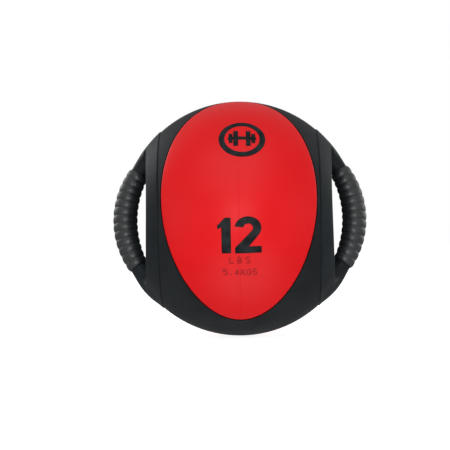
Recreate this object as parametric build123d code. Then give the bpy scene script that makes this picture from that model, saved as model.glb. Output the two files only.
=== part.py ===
"""Dual-handle medicine ball, 12 lb (5.4 kg), in millimetres.

A thick rubber shell moulded as a front and a back half, with an air bladder and a needle valve inside.
Each flat side of the shell carries a hard cup, and an arched grip bar crosses each cup.
Every piece is drawn in the ball's upright frame: handles along X, printed panel towards -Y, +Z up.
At the end each piece is tipped back about X, to the attitude in which the ball is set down for show.
"""

import os
from math import asin, cos, degrees, radians, sin, sqrt

from build123d import *

# Attitude of the finished ball
tip_back = 13.3                 # the printed panel looks up by this angle, in degrees

# Ball shell
ball_radius = 127.0             # a 10 inch ball
shell_wall = 23.5
flat_x = 83.3                   # each side of the ball is cut flat here
end_wall = 17.0                 # rubber left behind each flat
cavity_round = 12.0
seam_tongue_radius = 115.0      # middle of the register between the two halves
seam_tongue_width = 5.0
seam_tongue_height = 3.0
seam_play = 0.15

# Coloured panels, front and back
panel_half_width = 79.6
panel_half_height = 118.5
panel_thickness = 3.0
panel_proud = 0.35              # how far the panel stands out of the black rubber
panel_groove = 0.9              # open groove round the panel
panel_edge_round = 0.9

# Bladder
bladder_play = 0.3
bladder_wall = 2.0

# Needle valve, in the middle of the back panel
valve_stem_radius = 7.0
valve_hole_play = 0.25
valve_sink = 1.2                # valve face below the panel's surface
valve_flange_radius = 17.0
valve_flange_thickness = 2.5
valve_plug_radius = 3.0
valve_plug_head_radius = 4.6
valve_plug_head_height = 1.8
valve_plug_tail = 5.0           # rubber left below the plug
needle_radius = 1.1
needle_depth = 24.0
needle_mouth_radius = 1.9
needle_mouth_depth = 1.0

# Handle cups
cup_radius = 127.8              # the cup's outside is a sphere, a little proud of the ball
cup_rim_x = 98.0
cup_rim_land_radius = 75.5      # where the rim's flat top ends and the dish begins
cup_floor_x = 84.6
cup_floor_edge_x = 87.6
cup_floor_edge_radius = 63.0
cup_floor_round = 14.0
cup_rim_round = 2.4
cup_spigot_radius = 58.0
cup_spigot_depth = 5.0
cup_seat_gap = 0.1
cup_back_chamfer = 0.8

# Grip bars
bar_arc_centre_x = 25.1
bar_arc_radius = 99.5
bar_radius = 8.25
bar_arc_half_angle = 44.0       # beyond it the bar runs straight into its socket
bar_straight = 7.0
bar_play = 0.1
root_tip_at = -15.0             # the cup's root cone along the bar's end axis, from the arc's end
root_base_at = 3.0
root_far_at = 20.0
root_tip_radius = 8.9
root_base_radius = 14.5

# Grip sleeves
grip_half_angle = 31.3
rib_count = 13
rib_crest_middle = 13.5
rib_crest_end = 11.0
rib_depth = 1.35
rib_overlap = 0.7               # each rib reaches this far under its neighbour
rib_land = 0.5                  # narrow flat at each side of a rib's bulge
grip_bore_play = 0.02

# Screws and washers that hold the bars
screw_radius = 3.0
screw_head_radius = 5.0
screw_head_height = 6.0
screw_reach = 14.0              # thread inside the bar
socket_radius = 2.9             # hexagon socket, across corners
socket_depth = 3.0
socket_floor = 5.0              # cup material between the bar's end and the washer
washer_radius = 6.25
washer_thickness = 1.6
pocket_radius = 7.0
pocket_end_gap = 1.0
screw_play = 0.1


def turned(points, rounds=()):
    """A solid turned about X from a closed outline of (x, radius) points; rounds gives (x, radius, fillet)."""
    outline = make_face(Polyline(*points, close=True))
    for x, radius, size in rounds:
        corner = outline.vertices().sort_by_distance((x, radius, 0))[0]
        outline = fillet(corner, size)
    return revolve(outline, Axis.X, 360)


def mirrored(part):
    """The left-hand copy of a right-hand piece."""
    return mirror(part, about=Plane.YZ)


def half_space(side):
    """A block that fills everything in front of (side = -1) or behind (side = 1) the moulding seam."""
    size = 2 * ball_radius + 20
    return Pos(0, side * size / 2, 0) * Box(size, size, size)


def slab(half_width):
    """Everything between two planes across X."""
    size = 2 * ball_radius + 20
    return Box(2 * half_width, size, size)


def cavity(inset):
    """The air space inside the shell, made smaller all round by inset: a flat-sided, rounded sphere."""
    space = Sphere(ball_radius - shell_wall - inset) & slab(flat_x - end_wall - inset)
    rims = space.edges().filter_by(GeomType.CIRCLE).filter_by(lambda e: abs(e.center().X) > 1)
    return fillet(rims, cavity_round - inset)


def oval_prism(growth):
    """The panels' oval, drawn out along Y through the whole ball."""
    oval = Plane.XZ * Ellipse(panel_half_width + growth, panel_half_height + growth)
    return extrude(oval, ball_radius + 10, both=True)


def valve_cylinder(radius, top, bottom):
    """A round prism on the valve's axis, from one Y to another."""
    return Pos(0, (top + bottom) / 2, 0) * Rot(90, 0, 0) * Cylinder(radius, abs(top - bottom))


def bar_path():
    """Centreline of the right-hand bar: one arc across the cup with a straight end at top and bottom."""
    a = radians(bar_arc_half_angle)
    top = Vector(bar_arc_centre_x + bar_arc_radius * cos(a), 0, bar_arc_radius * sin(a))
    run = Vector(-sin(a), 0, cos(a)) * bar_straight
    bottom = Vector(top.X, 0, -top.Z)
    arc = ThreePointArc(bottom, (bar_arc_centre_x + bar_arc_radius, 0, 0), top)
    lower = Line((bottom.X + run.X, 0, bottom.Z - run.Z), bottom)
    upper = Line(top, top + run)
    return lower + arc + upper


def bar_solid(radius):
    """A round bar of that radius along the whole centreline."""
    path = bar_path()
    section = Plane(origin=path @ 0, z_dir=path % 0) * Circle(radius)
    return sweep(section, path=path)


def bar_end_plane(end):
    """Plane at the end of the arc; its Z runs along the straight end, away from the grip. end is 1 or -1."""
    a = radians(bar_arc_half_angle)
    origin = (bar_arc_centre_x + bar_arc_radius * cos(a), 0, end * bar_arc_radius * sin(a))
    return Plane(origin=origin, x_dir=(0, 1, 0), z_dir=(-sin(a), 0, end * cos(a)))


def along_bar_end(end, radius, start, stop):
    """A round prism on a bar end's axis, between two distances from the arc's end."""
    return bar_end_plane(end) * Pos(0, 0, (start + stop) / 2) * Cylinder(radius, stop - start)


washer_at = bar_straight + socket_floor
head_at = washer_at + washer_thickness
pocket_end = head_at + screw_head_height + pocket_end_gap


def screw_pockets():
    """Room behind the right-hand cup for both screw heads and their washers."""
    return [along_bar_end(end, pocket_radius, washer_at, pocket_end) for end in (1, -1)]


def shell_halves():
    """The black rubber shell, cut at the moulding seam into its front and back halves."""
    shell = Sphere(ball_radius) & slab(flat_x)
    shell -= cavity(0)
    skin = Sphere(ball_radius + 5) - Sphere(ball_radius - panel_thickness)
    shell -= skin & oval_prism(panel_groove)
    seat_start = flat_x - cup_spigot_depth - cup_seat_gap
    seat = Pos((seat_start + flat_x + 5) / 2, 0, 0) * Rot(0, 90, 0) * Cylinder(
        cup_spigot_radius + cup_seat_gap, flat_x + 5 - seat_start
    )
    shell -= [seat, mirrored(seat)]
    for pocket in screw_pockets():
        shell -= [pocket, mirrored(pocket)]
    shell -= valve_cylinder(valve_stem_radius + valve_hole_play, ball_radius, ball_radius - shell_wall - 5)

    half_width = seam_tongue_width / 2
    height = seam_tongue_height

    def register(play):
        ring = Cylinder(seam_tongue_radius + half_width + play, 2 * (height + play))
        ring -= Cylinder(seam_tongue_radius - half_width - play, 2 * (height + play))
        ring = Rot(90, 0, 0) * ring
        return ring & slab(flat_x - end_wall)

    front = (shell & half_space(-1)) + (register(0) & half_space(1))
    back = (shell & half_space(1)) - register(seam_play)
    return front, back


def panels():
    """The two coloured rubber ovals, each with a softly rounded outer edge."""
    skin = Sphere(ball_radius + panel_proud) - Sphere(ball_radius - panel_thickness + 0.05)
    both = skin & oval_prism(0)
    made = []
    for side in (-1, 1):
        panel = both & half_space(side)
        outer = [e for e in panel.edges() if (e @ 0.3).length > ball_radius]
        made.append(fillet(outer, panel_edge_round))
    front, back = made
    back -= valve_cylinder(valve_stem_radius + valve_hole_play, ball_radius + 5, ball_radius - 8)
    return front, back


def bladder():
    """The air bladder that lines the cavity, with a round hole where the valve housing is bonded in."""
    bag = cavity(bladder_play) - cavity(bladder_play + bladder_wall)
    inside = ball_radius - shell_wall
    return bag - valve_cylinder(valve_stem_radius, inside + 5, inside - 10)


def valve():
    """The valve: a flanged rubber housing through the wall, and the soft plug that seals on the needle."""
    face = ball_radius + panel_proud - valve_sink
    bag_inside = ball_radius - shell_wall - bladder_play - bladder_wall
    flange_bottom = bag_inside - valve_flange_thickness - 0.6
    housing = valve_cylinder(valve_stem_radius, face, flange_bottom)
    housing += valve_cylinder(valve_flange_radius, flange_bottom + valve_flange_thickness, flange_bottom)
    # the flange lies against the bladder's curved inside
    housing -= valve_cylinder(ball_radius, face, flange_bottom) & (
        Sphere(ball_radius * 2) - Sphere(bag_inside - 0.05)
    ) & valve_cylinder(valve_flange_radius + 1, bag_inside + 5, flange_bottom) - valve_cylinder(
        valve_stem_radius, face, flange_bottom
    )
    plug_bottom = flange_bottom + valve_plug_tail
    plug = valve_cylinder(valve_plug_radius, face, plug_bottom)
    plug += valve_cylinder(valve_plug_head_radius, face, face - valve_plug_head_height)
    housing -= plug
    mouth_middle = face - needle_mouth_depth / 2
    mouth = Pos(0, mouth_middle, 0) * Rot(90, 0, 0) * Cone(
        needle_mouth_radius, needle_radius, needle_mouth_depth
    )
    needle = valve_cylinder(needle_radius, face, face - needle_depth)
    return housing, plug - mouth - needle


def right_cup():
    """The hard cup on the ball's right flat: a dished floor, a rounded rim and two roots for the bar."""
    back = flat_x + cup_seat_gap
    rim_radius = sqrt(cup_radius**2 - cup_rim_x**2)
    back_radius = sqrt(cup_radius**2 - back**2)
    mid_x = (back + cup_rim_x) / 2
    edge = [
        Line((cup_floor_x, 0), (back - cup_spigot_depth, 0)),
        Line((back - cup_spigot_depth, 0), (back - cup_spigot_depth, cup_spigot_radius)),
        Line((back - cup_spigot_depth, cup_spigot_radius), (back, cup_spigot_radius)),
        Line((back, cup_spigot_radius), (back, back_radius)),
        ThreePointArc(
            (back, back_radius), (mid_x, sqrt(cup_radius**2 - mid_x**2)), (cup_rim_x, rim_radius)
        ),
        Line((cup_rim_x, rim_radius), (cup_rim_x, cup_rim_land_radius)),
        Line((cup_rim_x, cup_rim_land_radius), (cup_floor_edge_x, cup_floor_edge_radius)),
        Line((cup_floor_edge_x, cup_floor_edge_radius), (cup_floor_x, 0)),
    ]
    outline = make_face(Wire(edge))
    rounds = [
        ((cup_floor_edge_x, cup_floor_edge_radius), cup_floor_round),
        ((cup_rim_x, cup_rim_land_radius), cup_rim_round),
        ((cup_rim_x, rim_radius), cup_rim_round),
    ]
    for (x, radius), size in rounds:
        outline = fillet(outline.vertices().sort_by_distance((x, radius, 0))[0], size)
    outline = chamfer(outline.vertices().sort_by_distance((back, back_radius, 0))[0], cup_back_chamfer)
    cup = revolve(outline, Axis.X, 360)

    reach = root_far_at - root_base_at
    envelope = Sphere(cup_radius) & (Pos(back + ball_radius / 2, 0, 0) * Box(ball_radius, 300, 300))
    for end in (1, -1):
        plane = bar_end_plane(end)
        cone = plane * Pos(0, 0, (root_tip_at + root_base_at) / 2) * Cone(
            root_tip_radius, root_base_radius, root_base_at - root_tip_at
        )
        base = plane * Pos(0, 0, root_base_at + reach / 2) * Cylinder(root_base_radius, reach)
        cup += (cone + base) & envelope
    cup -= bar_solid(bar_radius + bar_play)
    for end in (1, -1):
        cup -= along_bar_end(end, screw_radius + screw_play, 0, pocket_end)
    return cup - screw_pockets()


def right_bar():
    """The steel bar inside the grip, tapped at both ends."""
    bar = bar_solid(bar_radius)
    holes = [
        along_bar_end(end, screw_radius + screw_play / 4, bar_straight - screw_reach - 1, bar_straight + 1)
        for end in (1, -1)
    ]
    return bar - holes


def right_screws():
    """Two socket-head screws, one into each end of the bar."""
    made = []
    for end in (1, -1):
        shank = along_bar_end(end, screw_radius, bar_straight - screw_reach, head_at)
        head = along_bar_end(end, screw_head_radius, head_at, head_at + screw_head_height)
        top = head_at + screw_head_height
        socket = bar_end_plane(end) * Pos(0, 0, top - socket_depth) * extrude(
            RegularPolygon(socket_radius, 6), socket_depth + 1
        )
        made.append(shank + head - socket)
    return made


def right_washers():
    """Two flat washers, one under each screw head."""
    return [
        along_bar_end(end, washer_radius, washer_at, washer_at + washer_thickness)
        - along_bar_end(end, screw_radius + screw_play, washer_at - 1, washer_at + washer_thickness + 1)
        for end in (1, -1)
    ]


def right_grip():
    """The soft ribbed sleeve on the bar: a row of rounded ribs, thickest in the middle of the palm."""
    step = 2 * grip_half_angle / rib_count
    half_pitch = bar_arc_radius * radians(step) / 2
    grip = None
    for i in range(rib_count):
        angle = -grip_half_angle + (i + 0.5) * step
        swell = 1 - (angle / grip_half_angle) ** 2
        crest = rib_crest_end + (rib_crest_middle - rib_crest_end) * swell
        root = crest - rib_depth
        first, last = i == 0, i == rib_count - 1
        low = -half_pitch if first else -half_pitch - rib_overlap
        high = half_pitch if last else half_pitch + rib_overlap
        bulge = half_pitch - rib_land
        profile = make_face(Wire([
            Line((low, 0), (low, root)),
            Line((low, root), (-bulge, root)),
            ThreePointArc((-bulge, root), (0, crest), (bulge, root)),
            Line((bulge, root), (high, root)),
            Line((high, root), (high, 0)),
            Line((high, 0), (low, 0)),
        ]))
        rib = revolve(profile, Axis.X, 360)
        a = radians(angle)
        place = Plane(
            origin=(bar_arc_centre_x + bar_arc_radius * cos(a), 0, bar_arc_radius * sin(a)),
            x_dir=(-sin(a), 0, cos(a)),
            z_dir=(0, 1, 0),
        )
        rib = place * rib
        grip = rib if grip is None else grip + rib
    return grip - bar_solid(bar_radius + grip_bore_play)


def write(name, shape):
    """Tips a piece back to the ball's attitude and writes it, several loose solids as one compound."""
    solids = shape if isinstance(shape, list) else [shape]
    solids = [s for one in solids for s in one.solids()]
    tipped = [Rot(-tip_back, 0, 0) * s for s in solids]
    export_step(tipped[0] if len(tipped) == 1 else Compound(tipped), f"parts/{name}.step")


def main():
    os.makedirs("parts", exist_ok=True)
    front_shell, back_shell = shell_halves()
    write("shell_front_half", front_shell)
    write("shell_back_half", back_shell)
    front_panel, back_panel = panels()
    write("front_panel", front_panel)
    write("back_panel", back_panel)
    write("bladder", bladder())
    housing, plug = valve()
    write("valve_housing", housing)
    write("valve_plug", plug)
    right_hand = {
        "cup": right_cup(),
        "grip_bar": right_bar(),
        "grip_sleeve": right_grip(),
        "bar_screws": right_screws(),
        "bar_washers": right_washers(),
    }
    for name, piece in right_hand.items():
        write(f"right_{name}", piece)
        pieces = piece if isinstance(piece, list) else [piece]
        write(f"left_{name}", [mirrored(p) for p in pieces])


main()
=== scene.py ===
import bmesh
import bpy
import numpy as np
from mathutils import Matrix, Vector


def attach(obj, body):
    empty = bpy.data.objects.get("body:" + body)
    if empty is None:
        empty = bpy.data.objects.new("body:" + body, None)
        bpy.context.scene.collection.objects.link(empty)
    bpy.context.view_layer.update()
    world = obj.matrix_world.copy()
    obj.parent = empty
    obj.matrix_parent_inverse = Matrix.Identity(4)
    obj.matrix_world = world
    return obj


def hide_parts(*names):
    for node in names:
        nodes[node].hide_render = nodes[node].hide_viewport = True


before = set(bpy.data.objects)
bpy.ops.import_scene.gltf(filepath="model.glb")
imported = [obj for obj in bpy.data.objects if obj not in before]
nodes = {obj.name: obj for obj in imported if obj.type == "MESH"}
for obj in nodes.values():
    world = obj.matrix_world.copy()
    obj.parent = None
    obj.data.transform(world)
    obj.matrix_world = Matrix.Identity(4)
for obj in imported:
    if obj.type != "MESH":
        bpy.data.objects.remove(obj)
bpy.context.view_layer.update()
print("frame loaded:", len(nodes), "nodes")

# Shapes are worked out in millimetres on the upright ball: grips along X, print towards -Y, +Z up
ball = dict(radius=127.0, tipBack=13.3)
fullTurn, halfTurn, quarterTurn = 2 * np.pi, np.pi, np.pi / 2


def placed(points):
    # the upright ball tipped back about X, then millimetres to metres:
    # y' = y cos + z sin, z' = z cos - y sin
    tip = np.radians(ball["tipBack"])
    x, y, z = np.moveaxis(np.asarray(points, float), -1, 0)
    turned = [x, y * np.cos(tip) + z * np.sin(tip), z * np.cos(tip) - y * np.sin(tip)]
    return np.stack(turned, -1) / 1000


def mirroredGrid(grid):
    # the same grid on the other side of the ball
    return grid * np.array([-1.0, 1.0, 1.0])


def gridFaces(rows, columns, closedRows, firstVertex):
    # one four-sided face per cell; the columns always join up round the piece
    i = np.arange(rows if closedRows else rows - 1)[:, None]
    j = np.arange(columns)[None, :]
    down, across = (i + 1) % rows, (j + 1) % columns
    corners = [i * columns + j, i * columns + across, down * columns + across, down * columns + j]
    return np.stack(np.broadcast_arrays(*corners), -1).reshape(-1, 4) + firstVertex


def makePiece(name, grids, material, standsFor=(), closedRows=False):
    # each grid is rows of rings; equal points at poles and seams are merged, so every skin is closed
    points, faces, count = [], [], 0
    for grid in grids:
        rows, columns = grid.shape[:2]
        points.append(placed(grid).reshape(-1, 3))
        faces.append(gridFaces(rows, columns, closedRows and grid is grids[0], count))
        count += rows * columns
    mesh = bpy.data.meshes.new(name)
    mesh.from_pydata(np.concatenate(points).tolist(), [], np.concatenate(faces).tolist())
    skin = bmesh.new()
    skin.from_mesh(mesh)
    bmesh.ops.remove_doubles(skin, verts=skin.verts, dist=1e-7)
    bmesh.ops.recalc_face_normals(skin, faces=skin.faces)
    skin.to_mesh(mesh)
    skin.free()
    mesh.polygons.foreach_set("use_smooth", np.ones(len(mesh.polygons), bool))
    mesh.materials.append(material)
    piece = bpy.data.objects.new(name, mesh)
    bpy.context.collection.objects.link(piece)
    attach(piece, "root")
    if standsFor:
        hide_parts(*standsFor)
    return piece


def ringAngles(count):
    return np.linspace(0, fullTurn, count, endpoint=False)


def linearColour(hexColour):
    # sRGB hex to linear red, green, blue and full alpha
    channels = [int(hexColour[i:i + 2], 16) / 255 for i in (1, 3, 5)]
    linear = [c / 12.92 if c <= 0.04045 else ((c + 0.055) / 1.055) ** 2.4 for c in channels]
    return (*linear, 1.0)


def perMetre(sizeInMm):
    # noise scale that gives features of this size on Object coordinates
    return 1000 / sizeInMm


def addNode(tree, kind, settings=None, links=None):
    # one node; a setting goes to a property or to an input by its name or number, and a link names its
    # source node and that node's output
    node = tree.nodes.new(kind)
    for key, value in (settings or {}).items():
        if isinstance(key, str) and hasattr(node, key):
            setattr(node, key, value)
        else:
            node.inputs[key].default_value = value
    for key, (source, output) in (links or {}).items():
        tree.links.new(source.outputs[output], node.inputs[key])
    return node


def emptyMaterial(name):
    material = bpy.data.materials.new(name)
    material.use_nodes = True
    material.node_tree.nodes.clear()
    return material, material.node_tree


# The part of a noise between these two values is spread over the whole change it drives
noiseSpan = dict(bloom=(0.38, 0.68), scuff=(0.64, 0.78), shine=(0.3, 0.7))


def spanOf(noise, low, high):
    # settings for a map range that turns that noise into values from low to high
    start, stop = noiseSpan[noise]
    return {"From Min": start, "From Max": stop, "To Min": low, "To Max": high}


def twoColours(look, first, second):
    # settings for a colour mix from the first to the second
    return {"data_type": "RGBA", 6: linearColour(look[first]), 7: linearColour(look[second])}


def mouldedFinish(name, look):
    # rubber, plastic or ink: a body colour with a paler bloom in patches, sparse pale scuffs, and the fine
    # grain that the mould or the screen leaves, which also makes the shine uneven
    material, tree = emptyMaterial(name)
    place = addNode(tree, "ShaderNodeTexCoord")
    patches = addNode(tree, "ShaderNodeTexNoise", {"Scale": perMetre(look["patchMm"]), "Detail": 3.0},
                      {"Vector": (place, "Object")})
    bloom = addNode(tree, "ShaderNodeMapRange", spanOf("bloom", 0.0, look["bloom"]),
                    {"Value": (patches, "Fac")})
    body = addNode(tree, "ShaderNodeMix", twoColours(look, "colour", "bloomColour"), {0: (bloom, "Result")})
    scratches = addNode(tree, "ShaderNodeTexNoise",
                        {"Scale": perMetre(look["scuffMm"]), "Detail": 4.0, "Roughness": 0.65,
                         "Distortion": 1.2},
                        {"Vector": (place, "Object")})
    scuffs = addNode(tree, "ShaderNodeMapRange", spanOf("scuff", 0.0, look["scuff"]),
                     {"Value": (scratches, "Fac")})
    worn = addNode(tree, "ShaderNodeMix", {"data_type": "RGBA", 7: linearColour(look["scuffColour"])},
                   {0: (scuffs, "Result"), 6: (body, 2)})
    grain = addNode(tree, "ShaderNodeTexNoise",
                    {"Scale": perMetre(look["grainMm"]), "Detail": 2.0, "Roughness": 0.6},
                    {"Vector": (place, "Object")})
    shine = addNode(tree, "ShaderNodeMapRange", spanOf("shine", look["roughLow"], look["roughHigh"]),
                    {"Value": (grain, "Fac")})
    bump = addNode(tree, "ShaderNodeBump", {"Distance": look["grainDepthMm"] / 1000},
                   {"Height": (grain, "Fac")})
    shader = addNode(tree, "ShaderNodeBsdfPrincipled",
                     {"IOR": look["ior"], "Specular IOR Level": look["specular"]},
                     {"Base Color": (worn, 2), "Roughness": (shine, "Result"), "Normal": (bump, "Normal")})
    addNode(tree, "ShaderNodeOutputMaterial", None, {"Surface": (shader, "BSDF")})
    return material


# Natural rubber in red, compression moulded: strong even colour with a soft, wide shine
redLook = dict(colour="#DB070F", bloomColour="#DF0C15", bloom=0.7, patchMm=38.0, grainMm=2.4,
               grainDepthMm=0.05, scuff=0.25, scuffColour="#E8302F", scuffMm=9.0, roughLow=0.36,
               roughHigh=0.44, ior=1.52, specular=0.27)
# Natural rubber filled with carbon black, compression moulded: near black with a grey bloom
blackLook = dict(colour="#181B1D", bloomColour="#212527", bloom=0.9, patchMm=30.0, grainMm=2.0,
                 grainDepthMm=0.07, scuff=0.5, scuffColour="#3A3E40", scuffMm=7.0, roughLow=0.5,
                 roughHigh=0.62, ior=1.52, specular=0.22)
# Hard plastic, injection moulded against a spark-textured tool: even fine grain; the real grain is 0.4 mm,
# drawn coarser here so that it shows
cupLook = dict(blackLook, colour="#191D1F", bloomColour="#20262A", patchMm=45.0, grainMm=1.6,
               grainDepthMm=0.06, scuff=0.35, roughLow=0.44, roughHigh=0.56, ior=1.5)
# Thermoplastic rubber, overmoulded in one go: smooth, so each rib carries its own highlight
gripLook = dict(blackLook, colour="#15181A", bloomColour="#1E2325", patchMm=16.0, grainMm=1.2,
                grainDepthMm=0.015, scuff=0.4, scuffMm=4.0, roughLow=0.4, roughHigh=0.48, ior=1.65,
                specular=1.0)
# Butyl rubber, dipped: dull dark skin
bladderLook = dict(blackLook, colour="#3A3633", bloomColour="#45403C", patchMm=25.0, grainMm=1.5,
                   specular=0.3)
# Rubber valve, moulded in a small tool: finer grain and smaller patches than the shell
valveLook = dict(blackLook, grainMm=1.0, patchMm=9.0, scuffMm=3.0)
# Screen-printed ink: thin and slightly patchy, worn through to a greyer film in small specks
inkLook = dict(colour="#0E1315", bloomColour="#232A2D", bloom=0.9, patchMm=9.0, grainMm=1.4,
               grainDepthMm=0.03, scuff=0.8, scuffColour="#4A4B4D", scuffMm=3.2, roughLow=0.46,
               roughHigh=0.56, ior=1.5, specular=0.22)
# The same ink rubbed thin over red rubber: dull dark red
thinInkLook = dict(inkLook, colour="#A61218", bloomColour="#7A1217", patchMm=3.0, scuffColour="#C8151B",
                   scuffMm=2.0)

redRubber = mouldedFinish("redMouldedRubber", redLook)
blackRubber = mouldedFinish("blackMouldedRubber", blackLook)
cupPlastic = mouldedFinish("sparkTexturedPlastic", cupLook)
gripRubber = mouldedFinish("overmouldedGripRubber", gripLook)
bladderRubber = mouldedFinish("dippedButyl", bladderLook)
valveRubber = mouldedFinish("mouldedValveRubber", valveLook)
printInk = mouldedFinish("screenPrintInk", inkLook)
thinInk = mouldedFinish("wornScreenPrintInk", thinInkLook)

# Steel bar, powder coated black: even satin coat with a little orange peel
coatLook = dict(colour="#1A1C1E", fadedColour="#24272A", fadeMm=20.0, peelMm=1.8, peelDepthMm=0.05,
                roughLow=0.3, roughHigh=0.42, ior=1.5)
# Steel, bright zinc plated: grey metal with uneven shine
zincLook = dict(colour="#B4B7BA", stainColour="#8F9294", stainMm=4.0, roughLow=0.28, roughHigh=0.45)


def powderCoat(name, look):
    # baked powder: faint fading in wide patches, and orange peel in both the shine and the surface
    material, tree = emptyMaterial(name)
    place = addNode(tree, "ShaderNodeTexCoord")
    fading = addNode(tree, "ShaderNodeTexNoise", {"Scale": perMetre(look["fadeMm"])},
                     {"Vector": (place, "Object")})
    faded = addNode(tree, "ShaderNodeMix", twoColours(look, "colour", "fadedColour"), {0: (fading, "Fac")})
    peel = addNode(tree, "ShaderNodeTexNoise", {"Scale": perMetre(look["peelMm"]), "Detail": 1.0},
                   {"Vector": (place, "Object")})
    shine = addNode(tree, "ShaderNodeMapRange", spanOf("shine", look["roughLow"], look["roughHigh"]),
                    {"Value": (peel, "Fac")})
    bump = addNode(tree, "ShaderNodeBump", {"Distance": look["peelDepthMm"] / 1000},
                   {"Height": (peel, "Fac")})
    shader = addNode(tree, "ShaderNodeBsdfPrincipled", {"IOR": look["ior"]},
                     {"Base Color": (faded, 2), "Roughness": (shine, "Result"), "Normal": (bump, "Normal")})
    addNode(tree, "ShaderNodeOutputMaterial", None, {"Surface": (shader, "BSDF")})
    return material


def zincPlate(name, look):
    # plated steel: pale grey metal, duller where the plating is stained
    material, tree = emptyMaterial(name)
    place = addNode(tree, "ShaderNodeTexCoord")
    stains = addNode(tree, "ShaderNodeTexNoise", {"Scale": perMetre(look["stainMm"]), "Detail": 3.0},
                     {"Vector": (place, "Object")})
    body = addNode(tree, "ShaderNodeMix", twoColours(look, "colour", "stainColour"), {0: (stains, "Fac")})
    shine = addNode(tree, "ShaderNodeMapRange", spanOf("shine", look["roughLow"], look["roughHigh"]),
                    {"Value": (stains, "Fac")})
    shader = addNode(tree, "ShaderNodeBsdfPrincipled", {"Metallic": 1.0},
                     {"Base Color": (body, 2), "Roughness": (shine, "Result")})
    addNode(tree, "ShaderNodeOutputMaterial", None, {"Surface": (shader, "BSDF")})
    return material


barCoat = powderCoat("blackPowderCoat", coatLook)
zincSteel = zincPlate("zincPlatedSteel", zincLook)
print("finishes made")

# CAD pieces whose shape stays as it is
keptFinishes = {
    "shell_front_half": blackRubber,
    "shell_back_half": blackRubber,
    "bladder": bladderRubber,
    "valve_housing": valveRubber,
    "valve_plug": valveRubber,
    "left_bar_screws": zincSteel,
    "right_bar_screws": zincSteel,
    "left_bar_washers": zincSteel,
    "right_bar_washers": zincSteel,
}
for nodeName, finish in keptFinishes.items():
    nodes[nodeName].data.materials.clear()
    nodes[nodeName].data.materials.append(finish)
print("finishes on the kept CAD pieces")

# Coloured panels, front and back, with the mould's parting line as a low ridge from top to bottom on the
# front one
panel = dict(halfWidth=79.6, halfHeight=118.5, thickness=2.95, proud=0.35, edge=1.0, valveHole=7.25,
             columns=320, rows=90, backEvery=6, edgeRows=8)
partingLine = dict(width=1.4, height=0.11, depth=0.3, sunk=0.01, shortOfEdge=1.2, rows=200, across=9)


def ovalRings(look, inset, radius, reach, hole):
    # rings of an oval seen along Y, dropped on to a sphere: x = (h + (a - h) s) cos t, z the same with b,
    # y = -sqrt(radius^2 - x^2 - z^2); s runs from the middle, or the hole's edge, to the rim
    t = ringAngles(look["columns"])[None, :]
    s, inset, radius = np.broadcast_arrays(*[np.asarray(v, float)[:, None] for v in (reach, inset, radius)])
    x = (hole + (look["halfWidth"] - inset - hole) * s) * np.cos(t)
    z = (hole + (look["halfHeight"] - inset - hole) * s) * np.sin(t)
    y = -np.sqrt(radius ** 2 - x ** 2 - z ** 2)
    return np.stack([x, y, z], -1)


def panelGrid(look, hole):
    # outer face from the middle out, a quarter-round rim, then back to the middle along the inner face
    outer = ball["radius"] + look["proud"]
    inner = ball["radius"] - look["thickness"]
    edge = look["edge"]
    bend = np.linspace(0, quarterTurn, look["edgeRows"])
    face = np.linspace(0, 1, look["rows"])
    back = face[::-look["backEvery"]]
    reach = np.concatenate([face, np.ones(look["edgeRows"]), back])
    inset = np.concatenate([np.full(face.size, edge), edge * (1 - np.sin(bend)), np.zeros(back.size)])
    radius = np.concatenate([np.full(face.size, outer), outer - edge * (1 - np.cos(bend)),
                             np.full(back.size, inner)])
    return ovalRings(look, inset, radius, reach, hole)


def onPanel(points, rise, lift):
    # a flat drawing laid on the ball: right is an arc by u / R, up is an arc round X by v / R
    radius = ball["radius"] + panel["proud"]
    u, v = points[..., 0], points[..., 1]
    sideways, up = u / radius, np.radians(rise) + v / radius
    outwards = np.cos(sideways)
    x, y, z = np.sin(sideways), -outwards * np.cos(up), outwards * np.sin(up)
    return np.stack([x, y, z], -1) * (radius + np.asarray(lift))[..., None]


def closedBand(top, bottom):
    # the two faces of a thin slab joined into rings, each end closed on to its middle
    band = np.concatenate([top, bottom[:, ::-1]], 1)
    first = np.repeat(band[:1].mean(1, keepdims=True), band.shape[1], 1)
    last = np.repeat(band[-1:].mean(1, keepdims=True), band.shape[1], 1)
    return np.concatenate([first, band, last])


def partingRidge(look):
    # a low ridge up the panel's middle, height cos^2 across its width
    radius = ball["radius"] + panel["proud"]
    half = radius * np.arcsin((panel["halfHeight"] - look["shortOfEdge"]) / radius)
    v = np.linspace(-half, half, look["rows"])[:, None]
    across = np.linspace(-1, 1, look["across"])[None, :]
    flat = np.stack(np.broadcast_arrays(across * look["width"] / 2, v), -1)
    height = look["height"] * np.cos(across * quarterTurn) ** 2 - look["sunk"] + 0 * v
    return closedBand(onPanel(flat, 0, height), onPanel(flat, 0, -look["depth"] + 0 * height))


frontPanel = panelGrid(panel, 0.0)
backPanel = panelGrid(panel, panel["valveHole"]) * np.array([1.0, -1.0, 1.0])
frontGrids = [frontPanel, partingRidge(partingLine)]
makePiece("front_panel_rubber", frontGrids, redRubber, ["front_panel"])
makePiece("back_panel_rubber", [backPanel], redRubber, ["back_panel"], closedRows=True)
print("panels made")

# Handle cups: the rim stands further out at the roots than between them, which leaves more room for fingers
cup = dict(sphere=127.8, backX=83.4, rimBetweenRoots=96.3, rimAtRoots=100.3, landWidth=5.5, floorX=84.6,
           floorEdge=(87.6, 63.0), floorShort=5.5, floorRound=10.0, rimRound=2.2, pastRim=3.0,
           sideShort=1.6, backRound=0.9, spigotRadius=58.0, spigotX=78.4, floorRows=40, sideRows=16,
           cornerRows=9, columns=288)


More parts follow.
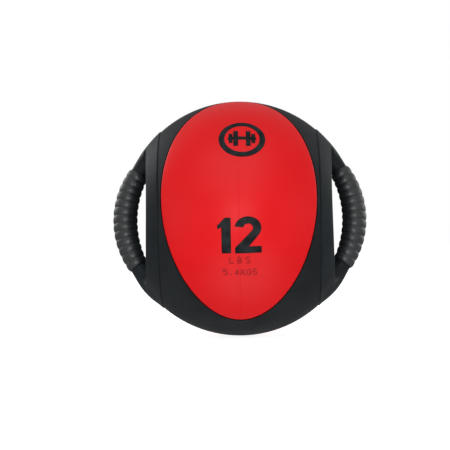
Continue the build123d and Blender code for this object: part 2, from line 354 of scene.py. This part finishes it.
def roundCorner(before, corner, after, radius, steps):
    # an arc of that radius tangent to both straight runs that meet at the corner
    before, corner, after = (np.asarray(p, float) for p in (before, corner, after))
    intoRun, outOfRun = before - corner, after - corner
    intoRun /= np.linalg.norm(intoRun)
    outOfRun /= np.linalg.norm(outOfRun)
    half = np.arccos(np.clip(intoRun @ outOfRun, -1, 1)) / 2
    middle = corner + (intoRun + outOfRun) / np.linalg.norm(intoRun + outOfRun) * radius / np.sin(half)
    start = corner + intoRun * radius / np.tan(half) - middle
    end = corner + outOfRun * radius / np.tan(half) - middle
    side = np.sign(start[0] * end[1] - start[1] * end[0])
    angle = np.linspace(0, halfTurn - 2 * half, steps) * side
    x = start[0] * np.cos(angle) - start[1] * np.sin(angle)
    r = start[0] * np.sin(angle) + start[1] * np.cos(angle)
    return middle + np.stack([x, r], -1)


def cupProfile(look, rimX):
    # from the middle of the dish, up its wall, over the rim, down the sphere and round the back;
    # the dish is a parabola x = floor + rise (r / edge)^2, and the outside is x = sqrt(sphere^2 - r^2)
    sphere, backX = look["sphere"], look["backX"]
    rimOut, backOut = np.sqrt(sphere ** 2 - rimX ** 2), np.sqrt(sphere ** 2 - backX ** 2)
    edgeX, edgeR = look["floorEdge"]
    r = np.linspace(0, edgeR - look["floorShort"], look["floorRows"])
    dish = np.stack([look["floorX"] + (edgeX - look["floorX"]) * (r / edgeR) ** 2, r], -1)
    land = (rimX, rimOut - look["landWidth"])
    rows = look["cornerRows"]
    wall = roundCorner(dish[-1], (edgeX, edgeR), land, look["floorRound"], rows + 5)
    innerRim = roundCorner((edgeX, edgeR), land, (rimX, rimOut), look["rimRound"], rows)
    pastRim = rimOut + look["pastRim"]
    nearRim = np.array([np.sqrt(sphere ** 2 - pastRim ** 2), pastRim])
    outerRim = roundCorner(land, (rimX, rimOut), nearRim, look["rimRound"], rows)
    r = np.linspace(pastRim, backOut - look["sideShort"], look["sideRows"])
    side = np.stack([np.sqrt(sphere ** 2 - r ** 2), r], -1)
    spigotOut, spigotX = look["spigotRadius"], look["spigotX"]
    backEdge = roundCorner(side[-1], (backX, backOut), (backX, spigotOut), look["backRound"], rows - 2)
    spigot = [(backX, spigotOut), (spigotX, spigotOut), (spigotX, 0.0)]
    return np.concatenate([dish, wall, innerRim, outerRim, side, backEdge, np.array(spigot)])


def cupGrid(between, atRoots, columns):
    # two profiles of (x, radius) carried round X and blended by sin^2 t: y = r cos t, z = r sin t
    t = ringAngles(columns)[None, :]
    towardsRoot = np.sin(t) ** 2
    x, r = (between[:, k:k + 1] * (1 - towardsRoot) + atRoots[:, k:k + 1] * towardsRoot for k in (0, 1))
    return np.stack([x, r * np.cos(t), r * np.sin(t)], -1)


# Grips: the bar's arc has its centre on X, and the sleeve with its ribs follows the same arc
grip = dict(arcX=25.1, arcRadius=99.5, barRadius=8.25, barEnd=44.0, straight=7.0, endEdge=0.6, barRows=70,
            barColumns=48, sleeveEnd=31.3, ribs=13, crestMiddle=13.3, crestEnd=11.1, ribDepth=1.5,
            ribPower=2.1, grooveFloor=0.93, ribRows=16, columns=64, boreRadius=8.27, boreRows=40, lip=1.3,
            lipRows=6, runOut=2.0, endShare=0.35)


def arcFrame(angle):
    # points of the grip's arc, x = arcX + R cos a, z = R sin a, with the directions outwards and along it
    out = np.stack([np.cos(angle), 0 * angle, np.sin(angle)], -1)
    along = np.stack([-np.sin(angle), 0 * angle, np.cos(angle)], -1)
    middle = np.array([grip["arcX"], 0.0, 0.0]) + grip["arcRadius"] * out
    return middle, out, along


# Roots: flared fairings that carry each end of the bar on to the cup and over its rim
root = dict(collarAt=31.35, collarRadius=9.3, footMiddle=72.0, footIn=17.0, footOut=21.0, footSide=25.0,
            footSquareness=2.6, leaveOut=14.0, leaveIn=10.0, landOut=22.0, landIn=9.0, liftOut=4.2,
            sink=0.1, insideBar=0.5, underFoot=4.0, tangentStep=0.012, rows=34, columns=96)


def rootGrid(look, between, atRoots):
    # a skin from a collar round the bar to a squared oval foot on the cup, one cubic curve for each
    # direction round the bar: it leaves the collar along the bar and lands along the cup's own surface;
    # the foot is y = side sin t |sin t|^(2/n - 1) and z = middle - reach cos t |cos t|^(2/n - 1)
    def cupX(y, z):
        radius = np.hypot(y, z)
        heights = []
        for profile in (between, atRoots):
            front = profile[:int(np.argmin(np.abs(profile[:, 0] - cup["backX"]) - profile[:, 1]))]
            heights.append(np.interp(radius, np.maximum.accumulate(front[:, 1]), front[:, 0]))
        towardsRoot = (z / np.maximum(radius, 1)) ** 2
        return heights[0] * (1 - towardsRoot) + heights[1] * towardsRoot - look["sink"]

    t = ringAngles(look["columns"])
    middle, out, along = arcFrame(np.radians(np.array(look["collarAt"])))
    sideways = np.array([0.0, 1.0, 0.0])
    spoke = -np.cos(t)[:, None] * out + np.sin(t)[:, None] * sideways
    collar = middle + look["collarRadius"] * spoke
    # how much each direction faces outwards, 0 on the palm side of the dish and 1 on the ball's outline
    outward = (1 - np.cos(t)) / 2

    def mixed(inside, outside):
        return (look[inside] * (1 - outward) + look[outside] * outward)[:, None]

    power = 2 / look["footSquareness"]
    y = look["footSide"] * np.sign(np.sin(t)) * np.abs(np.sin(t)) ** power
    reach = np.where(np.cos(t) < 0, look["footOut"], look["footIn"])
    z = look["footMiddle"] - reach * np.sign(np.cos(t)) * np.abs(np.cos(t)) ** power
    foot = np.stack([cupX(y, z), y, z], -1)
    step = look["tangentStep"]
    nearY, nearZ = y * (1 - step), look["footMiddle"] + (z - look["footMiddle"]) * (1 - step)
    inwards = np.stack([cupX(nearY, nearZ), nearY, nearZ], -1) - foot
    inwards /= np.linalg.norm(inwards, axis=1, keepdims=True)
    lifted = foot + mixed("landIn", "landOut") * inwards
    awayFromBall = lifted / np.linalg.norm(lifted, axis=1)[:, None]
    lifted = lifted + (look["liftOut"] * outward ** 2)[:, None] * awayFromBall
    leaving = collar + mixed("leaveIn", "leaveOut") * along
    u = np.linspace(0, 1, look["rows"])[:, None, None]
    weights = [(1 - u) ** 3, 3 * u * (1 - u) ** 2, 3 * u ** 2 * (1 - u), u ** 3]
    skin = sum(w * c[None] for w, c in zip(weights, (collar, leaving, lifted, foot)))
    # closed by a disc inside the bar and a point under the foot
    inBar = middle + (grip["barRadius"] - look["insideBar"]) * spoke
    under = foot.mean(0) + 0 * foot - np.array([look["underFoot"], 0, 0])
    return np.concatenate([(middle + 0 * spoke)[None], inBar[None], skin, under[None]])


profiles = cupProfile(cup, cup["rimBetweenRoots"]), cupProfile(cup, cup["rimAtRoots"])
topRoot = rootGrid(root, *profiles)
cupGrids = [cupGrid(*profiles, cup["columns"]), topRoot, topRoot * np.array([1.0, 1.0, -1.0])]
for side, grids in (("right", cupGrids), ("left", [mirroredGrid(g) for g in cupGrids])):
    makePiece(side + "_cup_moulding", grids, cupPlastic, [side + "_cup"])
print("cups made")


def tubeGrid(middle, out, radius, columns):
    # rings round a line in the XZ plane: middle + radius (cos t out + sin t Y)
    t = ringAngles(columns)[None, :, None]
    spoke = np.cos(t) * out[:, None, :] + np.sin(t) * np.array([0.0, 1.0, 0.0])
    return middle[:, None, :] + radius[:, None, None] * spoke


def barGrid(look):
    # the arc, a straight run at each end, and a small turned edge where the bar is cut off
    end = np.radians(look["barEnd"])
    angle = np.linspace(-end, end, look["barRows"])
    middle, out, along = arcFrame(angle)
    run, edge, full = look["straight"], look["endEdge"], look["barRadius"]
    ahead = np.array([run - edge, run, run])[:, None]
    middle = np.concatenate([middle[0] - ahead[::-1] * along[0], middle, middle[-1] + ahead * along[-1]])
    out = np.concatenate([np.repeat(out[:1], 3, 0), out, np.repeat(out[-1:], 3, 0)])
    radius = np.concatenate([[0, full - edge, full], np.full(angle.size, full), [full, full - edge, 0]])
    return tubeGrid(middle, out, radius, look["barColumns"])


def sleeveGrid(look):
    # radius = crest - depth g, where g = 1 - sqrt(1 - |p|^power) for the place p from -1 to 1 across a rib,
    # held at a floor in the grooves; the crest follows a parabola along the sleeve, and each end is a
    # quarter-round lip down to the bore
    half = np.radians(look["sleeveEnd"])
    along = np.linspace(-1, 1, look["ribs"] * look["ribRows"] + 1)
    ribPlace = (along + 1) / 2 * look["ribs"]
    p = 2 * (ribPlace - np.floor(np.minimum(ribPlace, look["ribs"] - 1e-9))) - 1
    groove = 1 - np.sqrt(np.clip(1 - np.abs(p) ** look["ribPower"], 0, 1))
    groove = np.minimum(groove, look["grooveFloor"])
    crest = look["crestEnd"] + (look["crestMiddle"] - look["crestEnd"]) * (1 - along ** 2)
    outer = crest - look["ribDepth"] * groove
    endRadius = look["crestEnd"] - look["ribDepth"] * look["endShare"]
    # the outermost half ribs run out into the lip
    nearEnd = (1 - np.abs(along)) * half * look["arcRadius"]
    outer = np.where(nearEnd < look["runOut"], np.maximum(outer, endRadius), outer)
    inside = nearEnd >= look["lip"]
    lipAngle = np.linspace(0, quarterTurn, look["lipRows"])
    lipDown = endRadius - look["lip"] * (1 - np.cos(lipAngle))
    endAngle = half - look["lip"] * (1 - np.sin(lipAngle)) / look["arcRadius"]
    bore = np.linspace(half, -half, look["boreRows"])
    angles = np.concatenate([along[inside] * half, endAngle, bore, -endAngle[::-1]])
    radii = np.concatenate([outer[inside], lipDown, np.full(bore.size, look["boreRadius"]), lipDown[::-1]])
    middle, out, _ = arcFrame(angles)
    return tubeGrid(middle, out, radii, look["columns"])


rightBar, rightSleeve = barGrid(grip), sleeveGrid(grip)
for side, flip in (("right", np.asarray), ("left", mirroredGrid)):
    makePiece(side + "_bar_coated", [flip(rightBar)], barCoat, [side + "_grip_bar"])
    makePiece(side + "_sleeve_ribbed", [flip(rightSleeve)], gripRubber,
              [side + "_grip_sleeve"], closedRows=True)
print("grips made")

# Print on the front panel, as thin skins of ink; drawings are in millimetres on the flat, right and up
ink = dict(lift=0.13, depth=0.35, across=9, step=1.5, arcPoints=28)


def filledBetween(left, right, rise):
    # ink between two lines with the same number of points: left + s (right - left), s from 0 to 1
    s = np.linspace(0, 1, ink["across"])[None, :, None]
    flat = left[:, None, :] * (1 - s) + right[:, None, :] * s
    lift = np.full(flat.shape[:2], ink["lift"])
    return closedBand(onPanel(flat, rise, lift), onPanel(flat, rise, 0 * lift - ink["depth"]))


def stroke(path, width, rise):
    # a band of even width along a line
    path = np.asarray(path, float)
    along = np.gradient(path, axis=0)
    along /= np.linalg.norm(along, axis=1, keepdims=True)
    aside = np.stack([-along[:, 1], along[:, 0]], -1) * width / 2
    return filledBetween(path + aside, path - aside, rise)


def straight(*corners, step=ink["step"]):
    # points along straight runs between the corners
    runs = []
    for a, b in zip(corners[:-1], corners[1:]):
        a, b = np.asarray(a, float), np.asarray(b, float)
        count = max(2, int(np.linalg.norm(b - a) / step) + 2)
        runs.append(a + np.linspace(0, 1, count)[:, None] * (b - a))
    joined = np.concatenate(runs)
    keep = np.concatenate([[True], np.linalg.norm(np.diff(joined, axis=0), axis=1) > 1e-6])
    return joined[keep]


def curved(centre, wide, high, start, stop, count=ink["arcPoints"]):
    # points on an oval arc, angles in degrees
    angle = np.radians(np.linspace(start, stop, count))
    return np.asarray(centre, float) + np.stack([wide * np.cos(angle), high * np.sin(angle)], -1)


def edgesBetween(pairs):
    # both edges of a straight-sided shape from matching corner pairs, with points every few millimetres
    lefts, rights = [], []
    for (a, b), (c, d) in zip(pairs[:-1], pairs[1:]):
        a, b, c, d = (np.asarray(p, float) for p in (a, b, c, d))
        reach = max(np.linalg.norm(c - a), np.linalg.norm(d - b))
        s = np.linspace(0, 1, max(2, int(reach / ink["step"]) + 2))[1:, None]
        lefts.append(a + (c - a) * s)
        rights.append(b + (d - b) * s)
    first = pairs[0]
    return (np.concatenate([[first[0]], *lefts]), np.concatenate([[first[1]], *rights]))


weightMark = dict(rise=-21.0, oneLeft=-22.4, twoLeft=-4.5, low=-18.7)
numberOne = dict(flag=4.3, flagCut=0.3, stem=9.6, height=36.4, flagTop=8.1, flagLow=11.6, notch=10.0,
                 shoulder=3.6)
numberTwo = dict(wide=26.8, height=37.4, topStroke=7.2, sideStroke=8.6, foot=7.0, bowlDrop=11.6,
                 tailHigh=5.8, notchAt=14.0, startAt=172, outerEnd=-36, innerEnd=-44, bowlPoints=40)


def drawOne(look, left, low, rise):
    # flag and stem filled from corner to corner: the flag's low edge turns down the stem's left side
    high, stemLeft = low + look["height"], left + look["flag"]
    stemRight = stemLeft + look["stem"]
    notch = (stemLeft, high - look["notch"])
    pairs = [((left + look["flagCut"], high - look["flagLow"]), (left, high - look["flagTop"])),
             (notch, (stemLeft + look["shoulder"], high)), (notch, (stemRight, high)),
             (notch, (stemRight, high - look["notch"])), ((stemLeft, low), (stemRight, low))]
    return filledBetween(*edgesBetween(pairs), rise)


def drawTwo(look, left, low, rise):
    # a bowl between two ovals, a straight tail between two tangents, then round the corner along the foot
    wide, high, foot = look["wide"], low + look["height"], low + look["foot"]
    centre = (left + wide / 2, high - look["bowlDrop"])
    outerWide, outerHigh = wide / 2, look["bowlDrop"]
    bowlOut = curved(centre, outerWide, outerHigh, look["startAt"], look["outerEnd"], look["bowlPoints"])
    bowlIn = curved(centre, outerWide - look["sideStroke"], outerHigh - look["topStroke"], look["startAt"],
                    look["innerEnd"], look["bowlPoints"])
    notch = (left + look["notchAt"], foot)
    pairs = [(bowlIn[-1], bowlOut[-1]), ((left, low + look["tailHigh"]), notch), ((left, low), notch),
             ((left + look["notchAt"], low), notch), ((left + wide, low), (left + wide, foot))]
    tailLeft, tailRight = edgesBetween(pairs)
    leftEdge, rightEdge = np.concatenate([bowlIn, tailLeft[1:]]), np.concatenate([bowlOut, tailRight[1:]])
    return filledBetween(leftEdge, rightEdge, rise)


low, rise = weightMark["low"], weightMark["rise"]
figures = [drawOne(numberOne, weightMark["oneLeft"], low, rise),
           drawTwo(numberTwo, weightMark["twoLeft"], low, rise)]
makePiece("weight_print", figures, printInk)

# Emblem: a plain ring round a plain dumbbell
emblem = dict(rise=26.6, aside=4.2, ring=21.0, ringPoints=97, band=6.0, handleLong=29.0, handleHigh=4.4,
              plates=((6.4, 5.0, 21.0), (11.6, 4.0, 13.0)))


def drawEmblem(look):
    centre, half = look["aside"], look["handleLong"] / 2
    ring = curved((centre, 0), look["ring"], look["ring"], 0, 360, look["ringPoints"])
    marks = [stroke(ring, look["band"], look["rise"])]
    marks.append(stroke(straight((centre - half, 0), (centre + half, 0)), look["handleHigh"], look["rise"]))
    for away, thick, high in look["plates"]:
        for x in (centre - away, centre + away):
            marks.append(stroke(straight((x, -high / 2), (x, high / 2)), thick, look["rise"]))
    return marks


makePiece("emblem_print", drawEmblem(emblem), printInk)

poundLine = dict(word="LBS", rise=-32.7, height=6.4, weight=1.1, pitch=8.2)
metricLine = dict(word="5.4KGS", rise=-38.7, height=6.4, weight=1.1, pitch=6.0)

# One-line letters and figures, each in a box from -1 to 1 both ways
letterShape = dict(wideToHigh=0.6, step=0.5)


def unitLine(*corners):
    return straight(*corners, step=letterShape["step"])


letterPaths = {
    "L": [unitLine((-1, 1), (-1, -1), (1, -1))],
    "B": [unitLine((-1, 1), (-1, -1)), curved((-1, 0.5), 1.8, 0.5, 90, -90),
          curved((-1, -0.5), 2.0, 0.5, 90, -90)],
    "S": [np.concatenate([curved((0, 0.48), 1.0, 0.52, 20, 270),
                          curved((0, -0.52), 1.0, 0.48, 90, -160)[1:]])],
    "K": [unitLine((-1, 1), (-1, -1)), unitLine((1, 1), (-1, -0.1)), unitLine((-0.4, 0.2), (1, -1))],
    "G": [np.concatenate([curved((0, 0), 1.1, 1.0, 45, 350), unitLine((1.08, 0), (0, 0))])],
    "5": [unitLine((1, 1), (-1, 1), (-1, 0.2)), curved((-0.1, -0.34), 1.1, 0.66, 130, -140)],
    "4": [unitLine((0.4, -1), (0.4, 1), (-1, -0.4), (1, -0.4))],
    ".": [unitLine((-0.3, -0.84), (0.3, -0.84))],
}


def drawWord(look):
    # each letter's box sized in millimetres and moved to its place in the line
    half = np.array([letterShape["wideToHigh"], 1.0]) * look["height"] / 2
    middle = (len(look["word"]) - 1) / 2
    strokes = []
    for i, letter in enumerate(look["word"]):
        place = np.array([(i - middle) * look["pitch"], 0.0])
        for path in letterPaths[letter]:
            strokes.append(stroke(path * half + place, look["weight"], look["rise"]))
    return strokes


makePiece("unit_print", drawWord(poundLine) + drawWord(metricLine), thinInk)
print("print made")

# Floor, light and camera, in metres and watts
stage = dict(floorZ=-0.1276, floorSize=12.0, floorColour="#C8C8C8", floorGlow=0.9, domeRadius=6.0,
             domeColour="#000000", domeGlow=1.0, paintRough=0.9)
# The room is dim below and along the horizon, so that outlines stay dark from every side
room = dict(lowGlow=0.26, highGlow=0.36, lowUntil=-0.1, fullAt=0.8)
# Softboxes; those without a highlight light the body colours evenly and leave no shine of their own
softboxes = dict(
    key=dict(place=(-0.03, -2.2, 0.06), size=0.85, power=7.5, highlight=True),
    high=dict(place=(-0.1, -1.4, 1.7), size=2.4, power=27.0, highlight=False),
    low=dict(place=(0.1, -1.3, -1.8), size=2.4, power=31.0, highlight=False),
    left=dict(place=(-1.9, -1.1, 0.1), size=1.8, power=7.0, highlight=False),
    right=dict(place=(1.9, -1.1, 0.1), size=1.8, power=7.0, highlight=False),
    backLeft=dict(place=(-1.8, 1.3, 1.0), size=1.4, power=9.0, highlight=True),
    backRight=dict(place=(1.9, 1.2, 0.5), size=1.4, power=7.0, highlight=True),
    back=dict(place=(0.0, 2.1, -0.4), size=2.4, power=16.0, highlight=False),
)
camera = dict(place=(0.008, -1.524, -0.0067), lens=111.9, sensor=36.0, roll=1.0, yaw=0.908)


def stageMesh(name, mesh, colour, glow):
    material, tree = emptyMaterial(name + "Paint")
    shader = addNode(tree, "ShaderNodeBsdfPrincipled",
                     {"Base Color": linearColour(colour), "Roughness": stage["paintRough"],
                      "Specular IOR Level": 0.0, "Emission Color": (1, 1, 1, 1),
                      "Emission Strength": glow})
    addNode(tree, "ShaderNodeOutputMaterial", None, {"Surface": (shader, "BSDF")})
    mesh.materials.append(material)
    thing = bpy.data.objects.new(name, mesh)
    bpy.context.collection.objects.link(thing)
    # seen by the camera only, so that it neither colours the ball nor shades it
    thing.visible_glossy = False
    thing.visible_diffuse = False
    thing.visible_shadow = False


def floorMesh(size, z):
    half = size / 2
    mesh = bpy.data.meshes.new("floor")
    corners = [(-half, -half, z), (half, -half, z), (half, half, z), (-half, half, z)]
    mesh.from_pydata(corners, [], [(0, 1, 2, 3)])
    return mesh


def domeMesh(radius, columns=64, rows=32):
    # the inside of a ball round the whole set: x = R sin a cos t, y = R sin a sin t, z = R cos a
    a = np.linspace(0, halfTurn, rows)[:, None]
    t = ringAngles(columns)[None, :]
    points = radius * np.stack([np.sin(a) * np.cos(t), np.sin(a) * np.sin(t), np.cos(a) + 0 * t], -1)
    mesh = bpy.data.meshes.new("backdrop")
    faces = gridFaces(rows, columns, False, 0)[:, ::-1]
    mesh.from_pydata(points.reshape(-1, 3).tolist(), [], faces.tolist())
    return mesh


def softbox(name, look):
    # a round area light aimed at the middle of the ball, and never seen itself
    lamp = bpy.data.lights.new(name, "AREA")
    lamp.shape = "DISK"
    lamp.size = look["size"]
    lamp.energy = look["power"]
    thing = bpy.data.objects.new(name, lamp)
    bpy.context.collection.objects.link(thing)
    thing.location = look["place"]
    thing.rotation_euler = (-Vector(look["place"])).to_track_quat("-Z", "Y").to_euler()
    thing.visible_camera = False
    thing.visible_glossy = look["highlight"]


stageMesh("floor", floorMesh(stage["floorSize"], stage["floorZ"]), stage["floorColour"], stage["floorGlow"])
stageMesh("backdrop", domeMesh(stage["domeRadius"]), stage["domeColour"], stage["domeGlow"])
for name, look in softboxes.items():
    softbox(name + "Softbox", look)
roomLight = bpy.data.worlds.new("roomLight")
bpy.context.scene.world = roomLight
roomLight.use_nodes = True
roomTree = roomLight.node_tree
roomTree.nodes.clear()
direction = addNode(roomTree, "ShaderNodeTexCoord")
upAndOut = addNode(roomTree, "ShaderNodeSeparateXYZ", None, {"Vector": (direction, "Generated")})
glow = addNode(roomTree, "ShaderNodeMapRange",
               {"interpolation_type": "SMOOTHSTEP", "From Min": room["lowUntil"],
                "From Max": room["fullAt"], "To Min": room["lowGlow"], "To Max": room["highGlow"]},
               {"Value": (upAndOut, "Z")})
sky = addNode(roomTree, "ShaderNodeBackground", {"Color": (1, 1, 1, 1)}, {"Strength": (glow, "Result")})
addNode(roomTree, "ShaderNodeOutputWorld", None, {"Surface": (sky, "Background")})
bpy.context.scene.view_settings.view_transform = "Standard"

cameraData = bpy.data.cameras.new("camera")
cameraData.lens = camera["lens"]
cameraData.sensor_width = camera["sensor"]
cameraThing = bpy.data.objects.new("camera", cameraData)
cameraThing.location = camera["place"]
cameraThing.rotation_euler = (quarterTurn, np.radians(camera["roll"]), np.radians(camera["yaw"]))
bpy.context.collection.objects.link(cameraThing)
bpy.context.scene.camera = cameraThing
print("floor, lights and camera set")
